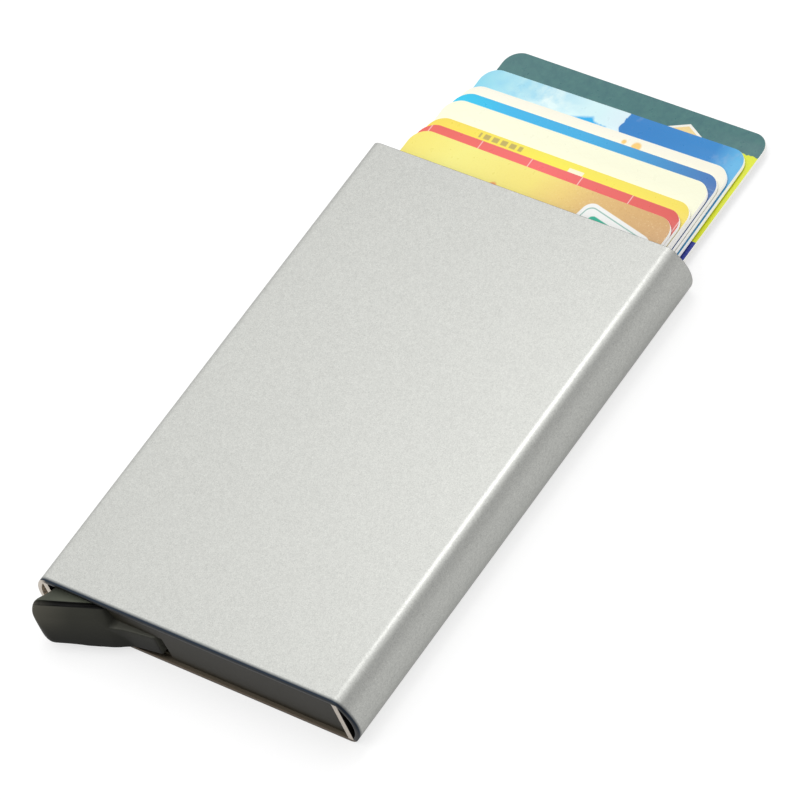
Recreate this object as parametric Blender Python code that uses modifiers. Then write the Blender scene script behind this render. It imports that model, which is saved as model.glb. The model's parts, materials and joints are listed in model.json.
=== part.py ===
"""Pop-up card holder: a drawn aluminium sleeve with bulged sides, a moulded end cap,
a thumb lever at one corner and a stepped ejector arm that fans eight cards out of
the mouth. Modelled with the lever pressed in and the cards fanned, as it is shown.

Metres, +Z up. The origin is the centre of the sleeve's underside, +Y points out of
the mouth and +X to the right with the lever at the near left corner.
"""

import math

import bmesh
import bpy
from mathutils import Matrix, Vector

MM = 0.001

# Cards, bottom card first
CARD_WIDTH = 53.98 * MM
CARD_LENGTH = 85.6 * MM
CARD_THICKNESS = 0.76 * MM
CARD_CORNER = 3.18 * MM
CARD_PITCH = 1.03 * MM
CARD_SEAT = 9.9 * MM
CARD_LIFTS = [lift * MM for lift in (31.8, 26.9, 22.15, 19.5, 17.0, 12.0, 9.55, 7.3)]
CARD_SKEWS = [math.radians(turn) for turn in (0.0, 0.6, 0.75, 0.55, 0.55, -0.15, -0.35, -0.6)]
CARD_SHIFTS = [shift * MM for shift in (0.6, 0.1, 0.0, 0.0, 0.0, 0.0, 0.0, 0.1)]

# Clearances
FIT_GAP = 0.1 * MM
RUN_GAP = 0.15 * MM
CARD_SIDE_GAP = 0.76 * MM
CARD_BASE_GAP = 0.4 * MM
PUSH_GAP = 0.1 * MM

# Sleeve
TUBE_LENGTH = 96.5 * MM
WALL = 0.75 * MM
WEB = 0.7 * MM
CHANNEL_DEPTH = 1.9 * MM
SIDE_RADIUS = 7.4 * MM
CREASE_RADIUS = 2.3 * MM
PAD_ROOM = 0.93 * MM
SLOT_CORNER = 0.25 * MM
MOUTH_CHAMFER = 0.25 * MM

# Guide rails, edge felts and the friction pad near the mouth
RAIL_THICKNESS = 0.8 * MM
RAIL_START = 15.5 * MM
RAIL_SETBACK = 2.0 * MM
RAIL_CORNER = 0.2 * MM
FELT_THICKNESS = 0.6 * MM
FELT_INSET = 1.0 * MM
FELT_LENGTH = 34.0 * MM
PAD_THICKNESS = 0.6 * MM
PAD_WIDTH = 42.0 * MM
PAD_LENGTH = 9.0 * MM

# End cap
CAP_RECESS = 0.6 * MM
CAP_PLATE = 1.0 * MM
CAP_CHEEK = 0.5 * MM
CAP_CHEEK_DEPTH = 9.4 * MM
CAP_CHEEK_WIDTH = 29.0 * MM
CAP_SIDE = 0.9 * MM
CAP_TAB = 7.0 * MM
WINDOW_TOP_X = 10.9 * MM
WINDOW_STEP_X = 12.8 * MM
WINDOW_STEP_HEIGHT = 6.35 * MM
WINDOW_FOOT_X = 22.1 * MM
WINDOW_FOOT_SLANT = 0.4 * MM

# Thumb lever, from the slot's left wall and the near end
LEVER_SWING = math.radians(22.0)
LEVER_PIVOT_X = 22.0 * MM
LEVER_PIVOT_Y = 3.6 * MM
LEVER_HUB_RADIUS = 1.55 * MM
LEVER_PIN_RADIUS = 0.8 * MM
LEVER_NECK_HEIGHT = 4.45 * MM
LEVER_TOP_SLANT = 1.8 * MM
LEVER_ROUND = 0.45 * MM
HUB_BAR_LENGTH = 1.0 * MM
HUB_BAR_LOW = 1.1 * MM
HUB_BAR_HIGH = 1.3 * MM
BLANK_END_X = 20.8 * MM
BLANK_END_Y = 0.5 * MM
PAD_TOE_X = 4.2 * MM
PAD_TOE_Y = -5.1 * MM
PAD_NOSE_X = 1.0 * MM
PAD_NOSE_Y = -4.9 * MM
PAD_TIP_X = -1.0 * MM
PAD_TIP_Y = -3.5 * MM
PAD_HEEL_X = 0.3 * MM
PAD_HEEL_Y = -0.5 * MM
PAD_BACK_X = 0.85 * MM
PAD_BACK_LOW = 1.0 * MM
PAD_BACK_HIGH = 3.4 * MM
LEVER_INSIDE_X = 19.5 * MM
LEVER_INSIDE_Y = 4.1 * MM
PAD_CREASE_X = 0.6 * MM
PAD_CREASE_Y = -3.2 * MM
PAD_CREASE_TURN = math.radians(19.0)
PAD_FLARE = 2.2 * MM
PAD_BULGE = 0.45 * MM
NECK_ROOT_X = 8.0 * MM
NECK_ROOT_Y = -1.2 * MM
NECK_FACE_X = 13.0 * MM
NECK_FACE_Y = -0.65 * MM
NECK_END_Y = 0.25 * MM
NECK_BACK_Y = 1.9 * MM
NOSE_RADIUS = 1.1 * MM
STEM_WIDTH = 1.4 * MM
STEM_ROOT_Y = 2.2 * MM
STEM_LEAN = 1.2 * MM

# Ejector arm, from the slot's left wall
ARM_SWING = math.radians(48.0)
ARM_PIVOT_X = 4.15 * MM
ARM_DROP = 2.7 * MM
ARM_HUB_RADIUS = 2.3 * MM
ARM_PIN_RADIUS = 1.0 * MM
ARM_UNDERSIDE = 1.7 * MM
ARM_BEAK_START = 3.0 * MM
ARM_BEAK_DEPTH = 0.2 * MM
FORK_DEPTH = 4.9 * MM
FORK_JAW = 1.9 * MM
FORK_PLAY = 0.65 * MM
FORK_FLARE = 0.75 * MM

# Moulding details shared by the lever and the arm
HUB_PROUD = 0.05 * MM
STEP_DRAFT = 0.02 * MM
STEP_OVERLAP = 0.3 * MM

ROUND_SEGMENTS = 40
CORNER_STEPS = 6
CAM_STEPS = 8

# Worked out from the sizes above
CARD_COUNT = len(CARD_LIFTS)
STACK_HEIGHT = (CARD_COUNT - 1) * CARD_PITCH + CARD_THICKNESS
CARD_BASE = WALL + CARD_BASE_GAP
TUBE_HEIGHT = 2 * WALL + CARD_BASE_GAP + STACK_HEIGHT + PAD_ROOM
SLOT_WIDTH = CARD_WIDTH + 2 * (CARD_SIDE_GAP + FELT_THICKNESS + RAIL_THICKNESS + 2 * FIT_GAP)
TUBE_WIDTH = SLOT_WIDTH + 2 * (WEB + CHANNEL_DEPTH + WALL)
SLOT_TOP = TUBE_HEIGHT - WALL
NEAR_Y = -TUBE_LENGTH / 2
MOUTH_Y = TUBE_LENGTH / 2
LEFT_X = -SLOT_WIDTH / 2
SEAT_Y = NEAR_Y + CARD_SEAT
CAP_FACE_Y = NEAR_Y + CAP_RECESS
CAP_BACK_Y = CAP_FACE_Y + CAP_PLATE
CHEEK_LOW = WALL + FIT_GAP
CHEEK_HIGH = SLOT_TOP - FIT_GAP
MOVING_LOW = CHEEK_LOW + CAP_CHEEK + RUN_GAP
MOVING_HIGH = CHEEK_HIGH - CAP_CHEEK - RUN_GAP
LEVER_PIVOT = Vector((LEFT_X + LEVER_PIVOT_X, NEAR_Y + LEVER_PIVOT_Y, 0.0))
ARM_PIVOT = Vector((LEFT_X + ARM_PIVOT_X, SEAT_Y - ARM_DROP, 0.0))
SWING_RATIO = ARM_SWING / LEVER_SWING


def clear_scene():
    for item in list(bpy.data.objects):
        bpy.data.objects.remove(item)


def new_collection(name):
    collection = bpy.data.collections.new(name)
    bpy.context.scene.collection.children.link(collection)
    return collection


def make_material(name, colour, roughness, metallic):
    material = bpy.data.materials.new(name)
    material.use_nodes = True
    shader = material.node_tree.nodes["Principled BSDF"]
    shader.inputs["Base Color"].default_value = (*colour, 1.0)
    shader.inputs["Roughness"].default_value = roughness
    shader.inputs["Metallic"].default_value = metallic
    material.diffuse_color = (*colour, 1.0)
    return material


def file_under(item, collection):
    for holder in list(item.users_collection):
        holder.objects.unlink(item)
    collection.objects.link(item)


def make_cutter(item):
    file_under(item, CUTTERS)
    item.hide_render = True
    item.display_type = "WIRE"
    return item


def finish_part(item, material, origin=None):
    """File a piece under the holder, give it its material and put its origin on its joint."""
    file_under(item, HOLDER)
    item.data.materials.clear()
    item.data.materials.append(material)
    if origin is not None:
        item.data.transform(Matrix.Translation(-origin))
        item.location = origin
    return item


def combine(target, tool, operation):
    modifier = target.modifiers.new(f"{operation.lower()} {tool.name}", "BOOLEAN")
    modifier.object = make_cutter(tool)
    modifier.operation = operation
    modifier.solver = "EXACT"
    return target


def curve_to_mesh(curve_object):
    """Turn a filled curve into a closed mesh object in the same place."""
    bpy.context.view_layer.update()
    graph = bpy.context.evaluated_depsgraph_get()
    mesh = bpy.data.meshes.new_from_object(curve_object.evaluated_get(graph))
    shape = bmesh.new()
    shape.from_mesh(mesh)
    bmesh.ops.remove_doubles(shape, verts=shape.verts, dist=0.000001)
    shape.transform(curve_object.matrix_world)
    shape.to_mesh(mesh)
    shape.free()
    name = curve_object.name
    bpy.data.objects.remove(curve_object)
    item = bpy.data.objects.new(name, mesh)
    bpy.context.scene.collection.objects.link(item)
    return item


def extrude_outlines(name, outlines, low, high, along_y=False):
    """A flat outline, with any holes, between two heights, or between two depths along Y."""
    curve = bpy.data.curves.new(name, "CURVE")
    curve.dimensions = "2D"
    curve.fill_mode = "BOTH"
    curve.extrude = (high - low) / 2
    for outline in outlines:
        spline = curve.splines.new("POLY")
        spline.points.add(len(outline) - 1)
        for point, (x, y) in zip(spline.points, outline):
            point.co = (x, y, 0.0, 1.0)
        spline.use_cyclic_u = True
    item = bpy.data.objects.new(name, curve)
    bpy.context.scene.collection.objects.link(item)
    middle = (low + high) / 2
    if along_y:
        item.rotation_euler = (math.pi / 2, 0.0, 0.0)
        item.location = (0.0, middle, 0.0)
    else:
        item.location = (0.0, 0.0, middle)
    return curve_to_mesh(item)


def extrude_smooth(name, points, low, high):
    """As above for one outline of Bezier points, each (x, y, handle type)."""
    curve = bpy.data.curves.new(name, "CURVE")
    curve.dimensions = "2D"
    curve.fill_mode = "BOTH"
    curve.resolution_u = CORNER_STEPS
    curve.extrude = (high - low) / 2
    spline = curve.splines.new("BEZIER")
    spline.bezier_points.add(len(points) - 1)
    for point, (x, y, handle) in zip(spline.bezier_points, points):
        point.co = (x, y, 0.0)
        point.handle_left_type = handle
        point.handle_right_type = handle
    spline.use_cyclic_u = True
    item = bpy.data.objects.new(name, curve)
    item.location = (0.0, 0.0, (low + high) / 2)
    bpy.context.scene.collection.objects.link(item)
    return curve_to_mesh(item)


def make_box(name, low, high):
    middle = [(a + b) / 2 for a, b in zip(low, high)]
    bpy.ops.mesh.primitive_cube_add(size=1.0, location=middle)
    item = bpy.context.active_object
    item.name = name
    item.scale = [b - a for a, b in zip(low, high)]
    bpy.ops.object.transform_apply(location=True, rotation=False, scale=True)
    return item


def make_disc(name, centre, radius, low, high):
    bpy.ops.mesh.primitive_cylinder_add(
        vertices=ROUND_SEGMENTS,
        radius=radius,
        depth=high - low,
        location=(centre[0], centre[1], (low + high) / 2),
    )
    item = bpy.context.active_object
    item.name = name
    bpy.ops.object.transform_apply(location=True, rotation=False, scale=False)
    return item


def merge_flat_faces(item):
    """Join the triangles of flat faces, which otherwise hold back the rounding of edges."""
    modifier = item.modifiers.new("flat faces merged", "DECIMATE")
    modifier.decimate_type = "DISSOLVE"
    modifier.angle_limit = math.radians(1)


def round_edges(item, width, segments=2):
    modifier = item.modifiers.new("rounded edges", "BEVEL")
    modifier.width = width
    modifier.segments = segments
    modifier.limit_method = "ANGLE"
    modifier.angle_limit = math.radians(50)
    return item


def arc(centre_x, centre_y, radius, start, end, steps=CORNER_STEPS):
    points = []
    for step in range(steps + 1):
        angle = start + (end - start) * step / steps
        points.append((centre_x + radius * math.cos(angle), centre_y + radius * math.sin(angle)))
    return points


def rounded_rectangle(low_x, low_y, high_x, high_y, radius):
    quarter = math.pi / 2
    corners = (
        (high_x - radius, high_y - radius, 0.0),
        (low_x + radius, high_y - radius, quarter),
        (low_x + radius, low_y + radius, 2 * quarter),
        (high_x - radius, low_y + radius, 3 * quarter),
    )
    points = []
    for centre_x, centre_y, start in corners:
        points += arc(centre_x, centre_y, radius, start, start + quarter)
    return points


def side_outline(inset):
    """The sleeve's right side in XZ, from its upper to its lower crease, moved in by inset."""
    middle = TUBE_HEIGHT / 2
    side_x = TUBE_WIDTH / 2 - SIDE_RADIUS
    crease_height = middle - CREASE_RADIUS
    core = SIDE_RADIUS - CREASE_RADIUS
    tilt = math.asin(crease_height / core)
    crease_x = side_x + core * math.cos(tilt)
    crease = CREASE_RADIUS - inset
    top = arc(crease_x, middle + crease_height, crease, math.pi / 2, tilt)
    side = arc(side_x, middle, SIDE_RADIUS - inset, tilt, -tilt, 2 * CORNER_STEPS)
    bottom = arc(crease_x, middle - crease_height, crease, -tilt, -math.pi / 2)
    return top + side[1:-1] + bottom


def mirrored(points):
    return [(-x, y) for x, y in reversed(points)]


def channel_outline():
    """The narrow space between the web and the bulged side, open at both ends."""
    web_face = SLOT_WIDTH / 2 + WEB
    wall = side_outline(WALL)
    inside = [point for point in wall if point[0] > web_face + FIT_GAP]
    return [(web_face, inside[0][1])] + inside + [(web_face, inside[-1][1])]


def ease_cut_ends(shell, outline):
    """Chamfer the outer edge of both cut ends, where a sleeve is deburred."""

    def nearest(vertex):
        gaps = [math.hypot(vertex.co.x - x, vertex.co.z - z) for x, z in outline]
        index = min(range(len(gaps)), key=gaps.__getitem__)
        return index, gaps[index]

    weights = shell.data.attributes.new("bevel_weight_edge", "FLOAT", "EDGE")
    for edge in shell.data.edges:
        start, end = (shell.data.vertices[index] for index in edge.vertices)
        across = abs(start.co.y - end.co.y) < FIT_GAP
        start_index, start_gap = nearest(start)
        end_index, end_gap = nearest(end)
        apart = abs(start_index - end_index)
        if across and apart in (1, len(outline) - 1) and max(start_gap, end_gap) < MOUTH_CHAMFER / 10:
            weights.data[edge.index].value = 1.0
    merge_flat_faces(shell)
    chamfer = shell.modifiers.new("cut ends eased", "BEVEL")
    chamfer.width = MOUTH_CHAMFER
    chamfer.segments = 1
    chamfer.limit_method = "WEIGHT"


def build_tube_shell():
    right = side_outline(0.0)
    outer = right + mirrored(right)
    slot = rounded_rectangle(LEFT_X, WALL, -LEFT_X, SLOT_TOP, SLOT_CORNER)
    channel = channel_outline()
    outlines = (outer, slot, channel, mirrored(channel))
    shell = extrude_outlines("tube_shell", outlines, NEAR_Y, MOUTH_Y, along_y=True)
    ease_cut_ends(shell, outer)
    return finish_part(shell, ALUMINIUM)


def build_end_cap():
    """A plate across the near end, two cheeks that hold the pins, and a side wall."""
    right = SLOT_WIDTH / 2 - FIT_GAP
    left = -right
    window = (
        (LEFT_X + WINDOW_TOP_X, CHEEK_HIGH),
        (LEFT_X + WINDOW_STEP_X, WINDOW_STEP_HEIGHT),
        (LEFT_X + WINDOW_FOOT_X, WINDOW_STEP_HEIGHT),
        (LEFT_X + WINDOW_FOOT_X + WINDOW_FOOT_SLANT, CHEEK_LOW),
    )
    plate_outline = window + ((right, CHEEK_LOW), (right, CHEEK_HIGH))
    cap = extrude_outlines("end_cap", (plate_outline,), CAP_FACE_Y, CAP_BACK_Y, along_y=True)
    cheek_y = CAP_FACE_Y + CAP_PLATE / 2
    cheek_end = NEAR_Y + CAP_CHEEK_DEPTH
    cheek = (
        (left, cheek_y),
        (right, cheek_y),
        (right, CAP_BACK_Y),
        (left + CAP_CHEEK_WIDTH, CAP_BACK_Y),
        (left + CAP_CHEEK_WIDTH, cheek_end),
        (left, cheek_end),
    )
    lower = extrude_outlines("lower cheek", (cheek,), CHEEK_LOW, CHEEK_LOW + CAP_CHEEK)
    upper = extrude_outlines("upper cheek", (cheek,), CHEEK_HIGH - CAP_CHEEK, CHEEK_HIGH)
    wall_low = (right - CAP_SIDE, cheek_y, CHEEK_LOW)
    wall_high = (right, CAP_BACK_Y + CAP_TAB, CHEEK_HIGH)
    wall = make_box("cap side wall", wall_low, wall_high)
    boss_low = WINDOW_STEP_HEIGHT - RUN_GAP
    boss = make_disc("pin boss", LEVER_PIVOT, LEVER_HUB_RADIUS, boss_low, CHEEK_HIGH - FIT_GAP)
    for piece in (lower, upper, wall, boss):
        combine(cap, piece, "UNION")
    for name, pivot, radius in pins():
        hole = make_disc(f"cap hole {name}", pivot, radius + FIT_GAP, 0.0, TUBE_HEIGHT)
        combine(cap, hole, "DIFFERENCE")
    return finish_part(cap, BLACK_PLASTIC)


def pins():
    return (
        ("thumb_lever_pin", LEVER_PIVOT, LEVER_PIN_RADIUS),
        ("ejector_arm_pin", ARM_PIVOT, ARM_PIN_RADIUS),
    )


def build_pins():
    for name, pivot, radius in pins():
        pin = make_disc(name, pivot, radius, CHEEK_LOW, CHEEK_HIGH)
        round_edges(pin, RUN_GAP, 1)
        finish_part(pin, STEEL, Vector((pivot.x, pivot.y, 0.0)))


def turned(point, pivot, angle):
    return Matrix.Rotation(angle, 3, "Z") @ (point - pivot) + pivot


def nose_centre():
    """The nose as pressed in. At half stroke it is where the two pitch circles meet."""
    span = LEVER_PIVOT - ARM_PIVOT
    pitch_point = ARM_PIVOT + span / (1 + SWING_RATIO)
    return turned(pitch_point, LEVER_PIVOT, -LEVER_SWING / 2)


def lever_face_cut():
    """What is cut off the pad: all that lies outside a gently bulged face, which leans
    out from the crease along the pad's top edge to its foot."""
    height = MOVING_HIGH - MOVING_LOW
    chord = math.hypot(PAD_FLARE, height)
    radius = (chord**2 / 4 + PAD_BULGE**2) / (2 * PAD_BULGE)
    lean = math.atan2(PAD_FLARE, height)
    centre_x = PAD_FLARE / 2 - (radius - PAD_BULGE) * math.cos(lean)
    centre_z = (MOVING_HIGH + MOVING_LOW) / 2 - (radius - PAD_BULGE) * math.sin(lean)
    half_arc = math.asin(chord / 2 / radius)
    face = arc(centre_x, centre_z, radius, lean + half_arc, lean - half_arc)
    reach = TUBE_WIDTH
    outside = [(0.0, reach)] + face + [(PAD_FLARE, -reach), (reach, -reach), (reach, reach)]
    cut = extrude_outlines("lever face cut", (outside,), -reach, reach, along_y=True)
    cut.rotation_euler = (0.0, 0.0, PAD_CREASE_TURN - math.pi / 2)
    cut.location = (LEFT_X + PAD_CREASE_X, NEAR_Y + PAD_CREASE_Y, 0.0)
    return cut


def build_thumb_lever():
    """A flared thumb pad, a neck low in the cap's window, a hub and the nose inside."""
    bar_x = LEVER_PIVOT_X - HUB_BAR_LENGTH
    from_corner = (
        (bar_x, LEVER_PIVOT_Y - HUB_BAR_LOW, "VECTOR"),
        (BLANK_END_X, BLANK_END_Y, "VECTOR"),
        (PAD_TOE_X, PAD_TOE_Y, "VECTOR"),
        (PAD_NOSE_X, PAD_NOSE_Y, "AUTO"),
        (PAD_TIP_X, PAD_TIP_Y, "AUTO"),
        (PAD_HEEL_X, PAD_HEEL_Y, "AUTO"),
        (PAD_BACK_X, PAD_BACK_LOW, "VECTOR"),
        (PAD_BACK_X, PAD_BACK_HIGH, "VECTOR"),
        (LEVER_INSIDE_X, LEVER_INSIDE_Y, "VECTOR"),
        (bar_x, LEVER_PIVOT_Y + HUB_BAR_HIGH, "VECTOR"),
    )
    x = LEFT_X
    y = NEAR_Y
    outline = [(x + across, y + along, handle) for across, along, handle in from_corner]
    lever = extrude_smooth("thumb_lever", outline, MOVING_LOW + HUB_PROUD, MOVING_HIGH)
    merge_flat_faces(lever)
    round_edges(lever, LEVER_ROUND)
    combine(lever, lever_face_cut(), "DIFFERENCE")
    hub_top = MOVING_LOW + LEVER_NECK_HEIGHT
    neck_top = hub_top - HUB_PROUD
    stem_low = MOVING_LOW + 2 * HUB_PROUD
    stem_top = neck_top - HUB_PROUD
    nose_low = stem_low + HUB_PROUD
    nose_top = stem_top - HUB_PROUD
    step_x = x + WINDOW_STEP_X - 2 * RUN_GAP
    top_x = step_x - LEVER_TOP_SLANT
    above = TUBE_HEIGHT + WALL
    step = ((top_x, above), (top_x, MOVING_HIGH), (step_x, neck_top), (0.0, neck_top), (0.0, above))
    low_y = y - CARD_SEAT
    cut = extrude_outlines("neck cut", (step,), low_y, y + CARD_SEAT, along_y=True)
    hub = make_disc("lever hub", LEVER_PIVOT, LEVER_HUB_RADIUS, MOVING_LOW, hub_top)
    nose_at = nose_centre()
    nose = make_disc("lever nose", nose_at, NOSE_RADIUS, nose_low, nose_top)
    root = (nose_at.x + STEM_LEAN, y + STEM_ROOT_Y)
    half = STEM_WIDTH / 2
    stem_outline = (
        (nose_at.x - half, nose_at.y),
        (root[0] - half, root[1]),
        (root[0] + half, root[1]),
        (nose_at.x + half, nose_at.y),
    )
    stem = extrude_outlines("lever stem", (stem_outline,), stem_low, stem_top)
    neck_outline = (
        (x + NECK_ROOT_X, y + NECK_ROOT_Y),
        (x + NECK_FACE_X, y + NECK_FACE_Y),
        (x + BLANK_END_X, y + NECK_END_Y),
        (x + BLANK_END_X, y + NECK_BACK_Y),
        (x + NECK_ROOT_X, y + NECK_BACK_Y),
    )
    under_step = WINDOW_STEP_HEIGHT - RUN_GAP
    neck = extrude_outlines("lever neck", (neck_outline,), nose_low, under_step)
    hole_radius = LEVER_PIN_RADIUS + FIT_GAP
    hole = make_disc("lever hole", LEVER_PIVOT, hole_radius, 0.0, TUBE_HEIGHT)
    combine(lever, cut, "DIFFERENCE")
    for piece in (neck, hub, nose, stem):
        combine(lever, piece, "UNION")
    combine(lever, hole, "DIFFERENCE")
    return finish_part(lever, BLACK_PLASTIC, Vector((LEVER_PIVOT.x, LEVER_PIVOT.y, 0.0)))


def cam_point(lift, share):
    """A point of one card's step, in the arm's own frame with the arm laid flat.

    A card's end is a straight edge, so it rises evenly with the arm's angle only if
    the touching point stays lift / ARM_SWING to the right of the pivot.
    """
    angle = ARM_SWING * share
    reach = lift / ARM_SWING
    height = ARM_DROP - PUSH_GAP + lift * share
    across = reach * math.cos(angle) + height * math.sin(angle)
    up = -reach * math.sin(angle) + height * math.cos(angle)
    return across, up


def under_tips(index):
    """Points just under the beaks of this step and the shorter ones above it."""
    points = []
    for lift in CARD_LIFTS[index:]:
        tip_x, tip_y = cam_point(lift, 1.0)
        if tip_y - ARM_BEAK_DEPTH < -ARM_UNDERSIDE or not points:
            points.append((tip_x - ARM_BEAK_DEPTH, min(tip_y, -ARM_UNDERSIDE) - ARM_BEAK_DEPTH))
    return points


def step_outline(index):
    """One card's step, laid flat: a bar from the hub that ends in a curved beak."""
    lift = CARD_LIFTS[index]
    draft = index * STEP_DRAFT
    cam = [cam_point(lift, step / CAM_STEPS) for step in range(CAM_STEPS + 1)]
    bar_top = ARM_DROP - PUSH_GAP - draft
    cam[0] = (cam[0][0], bar_top)
    under = [(x, y + draft) for x, y in under_tips(index)]
    beak_x = max(under[-1][0] - ARM_BEAK_START, ARM_HUB_RADIUS)
    underside = draft - ARM_UNDERSIDE
    dip = max(0.0, lift / ARM_SWING * math.tan(CARD_SKEWS[index]))
    return [(0.0, bar_top - dip)] + cam + under + [(beak_x, underside), (0.0, underside)]


def laid_arm_to_pressed(points):
    """Move points from the flat arm's frame to where the arm stands when pressed."""
    turn = Matrix.Rotation(ARM_SWING, 3, "Z")
    moved = [turn @ Vector((x, y, 0.0)) + ARM_PIVOT for x, y in points]
    return [(point.x, point.y) for point in moved]


def fork_centre():
    """Where the nose sits at half stroke, in the flat arm's frame."""
    span = LEVER_PIVOT - ARM_PIVOT
    pitch_point = span / (1 + SWING_RATIO)
    at_half_stroke = Matrix.Rotation(-ARM_SWING / 2, 3, "Z") @ pitch_point
    nose_pressed = Matrix.Rotation(-ARM_SWING, 3, "Z") @ (nose_centre() - ARM_PIVOT)
    middle = (at_half_stroke + nose_pressed) / 2
    return middle.x, middle.y


def build_ejector_arm():
    """Eight stacked steps, one for each card, on a hub with a fork for the lever's nose."""
    lowest = laid_arm_to_pressed(step_outline(0))
    arm_floor = MOVING_LOW + HUB_PROUD
    arm = extrude_outlines("ejector_arm", (lowest,), arm_floor, layer_top(0))
    for index in range(1, CARD_COUNT):
        outline = laid_arm_to_pressed(step_outline(index))
        low = layer_top(index - 1) - STEP_OVERLAP
        layer = extrude_outlines(f"arm step {index + 1}", (outline,), low, layer_top(index))
        combine(arm, layer, "UNION")
    hub = make_disc("arm hub", ARM_PIVOT, ARM_HUB_RADIUS, MOVING_LOW, MOVING_HIGH)
    fork_x, fork_y = fork_centre()
    slot = NOSE_RADIUS + FORK_PLAY
    left = fork_x - slot - FORK_JAW
    right = fork_x + slot + FORK_JAW
    heel = ((left, 0.0), (left, -FORK_DEPTH), (right, -FORK_DEPTH), (right, 0.0))
    neck_top = MOVING_LOW + LEVER_NECK_HEIGHT
    fork_floor = arm_floor + HUB_PROUD
    fork = extrude_outlines("arm fork", (laid_arm_to_pressed(heel),), fork_floor, neck_top)
    flare = slot + FORK_FLARE
    half_turn = math.pi
    slot_outline = arc(fork_x, fork_y, slot, 0.0, half_turn, 2 * CORNER_STEPS)
    slot_outline += [(fork_x - flare, -FORK_DEPTH), (fork_x - flare, -2 * FORK_DEPTH)]
    slot_outline += [(fork_x + flare, -2 * FORK_DEPTH), (fork_x + flare, -FORK_DEPTH)]
    above_neck = neck_top + RUN_GAP
    notch = extrude_outlines(
        "fork slot", (laid_arm_to_pressed(slot_outline),), 0.0, above_neck
    )
    hole = make_disc("arm hole", ARM_PIVOT, ARM_PIN_RADIUS + FIT_GAP, 0.0, TUBE_HEIGHT)
    combine(arm, hub, "UNION")
    combine(arm, fork, "UNION")
    combine(arm, notch, "DIFFERENCE")
    combine(arm, hole, "DIFFERENCE")
    return finish_part(arm, DARK_PLASTIC, Vector((ARM_PIVOT.x, ARM_PIVOT.y, 0.0)))


def layer_top(index):
    """The height of the arm's step under card number index, counted from 0."""
    gap = CARD_PITCH - CARD_THICKNESS
    return CARD_BASE + index * CARD_PITCH + CARD_THICKNESS + gap / 2


def build_guide_rails():
    """Two moulded rails along the slot's sides, with a felt on each near the mouth."""
    low = WALL + FIT_GAP
    high = SLOT_TOP - FIT_GAP
    outside = SLOT_WIDTH / 2 - FIT_GAP
    inside = outside - RAIL_THICKNESS
    start = NEAR_Y + RAIL_START
    end = MOUTH_Y - RAIL_SETBACK
    felt_low = low + FELT_INSET / 2
    felt_high = high - FELT_INSET / 2
    felt_end = end - FELT_INSET
    felt_outside = inside - FIT_GAP
    felt_inside = felt_outside - FELT_THICKNESS
    for side, name in ((-1, "left"), (1, "right")):
        edges = sorted((side * inside, side * outside))
        rail_name = f"{name}_guide_rail"
        rail = make_box(rail_name, (edges[0], start, low), (edges[1], end, high))
        round_edges(rail, RAIL_CORNER)
        finish_part(rail, DARK_PLASTIC)
        edges = sorted((side * felt_inside, side * felt_outside))
        felt_start = felt_end - FELT_LENGTH
        felt_name = f"{name}_edge_felt"
        felt = make_box(felt_name, (edges[0], felt_start, felt_low), (edges[1], felt_end, felt_high))
        round_edges(felt, RUN_GAP, 1)
        finish_part(felt, FELT)


def build_mouth_pad():
    """A felt pad under the sleeve's top wall that presses on the card stack."""
    high = SLOT_TOP - FIT_GAP
    low = high - PAD_THICKNESS
    end = MOUTH_Y - RAIL_SETBACK
    half = PAD_WIDTH / 2
    pad = make_box("mouth_pad", (-half, end - PAD_LENGTH, low), (half, end, high))
    round_edges(pad, RUN_GAP, 1)
    return finish_part(pad, FELT)


def card_outline(index):
    """A card from above, a little askew in the slot, with its end on its step's beak."""
    half = CARD_WIDTH / 2
    low_y = SEAT_Y + CARD_LIFTS[index]
    square = rounded_rectangle(-half, low_y, half, low_y + CARD_LENGTH, CARD_CORNER)
    skew = CARD_SKEWS[index]
    shift = CARD_SHIFTS[index]
    pivot = Vector((0.0, MOUTH_Y - FELT_LENGTH / 2, 0.0))
    depth = low_y - pivot.y
    touch_x = ARM_PIVOT.x + CARD_LIFTS[index] / ARM_SWING - shift
    slip = depth - depth / math.cos(skew) - touch_x * math.tan(skew)
    placed = [turned(Vector((x, y, 0.0)), pivot, skew) for x, y in square]
    return [(point.x + shift, point.y + slip) for point in placed]


def build_cards():
    for index, (lift, colour) in enumerate(zip(CARD_LIFTS, CARD_COLOURS)):
        name = f"card_{index + 1}"
        low_y = SEAT_Y + lift
        outline = card_outline(index)
        low = CARD_BASE + index * CARD_PITCH
        card = extrude_outlines(name, (outline,), low, low + CARD_THICKNESS)
        material = make_material(f"{name} plastic", colour, 0.35, 0.0)
        finish_part(card, material, Vector((0.0, low_y + CARD_LENGTH / 2, low)))


CARD_COLOURS = (
    (0.05, 0.14, 0.13),
    (0.10, 0.32, 0.68),
    (0.85, 0.80, 0.58),
    (0.05, 0.30, 0.62),
    (0.88, 0.84, 0.66),
    (0.85, 0.62, 0.10),
    (0.62, 0.06, 0.05),
    (0.66, 0.42, 0.13),
)

clear_scene()
HOLDER = new_collection("popup_card_holder")
CUTTERS = new_collection("cutters")
ALUMINIUM = make_material("bead-blasted aluminium", (0.62, 0.63, 0.62), 0.42, 1.0)
BLACK_PLASTIC = make_material("black moulded plastic", (0.035, 0.036, 0.033), 0.5, 0.0)
DARK_PLASTIC = make_material("grey moulded plastic", (0.06, 0.06, 0.062), 0.5, 0.0)
STEEL = make_material("pin steel", (0.55, 0.55, 0.56), 0.3, 1.0)
FELT = make_material("black felt", (0.02, 0.02, 0.022), 0.95, 0.0)

build_tube_shell()
build_end_cap()
build_pins()
build_thumb_lever()
build_ejector_arm()
build_guide_rails()
build_mouth_pad()
build_cards()
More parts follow.
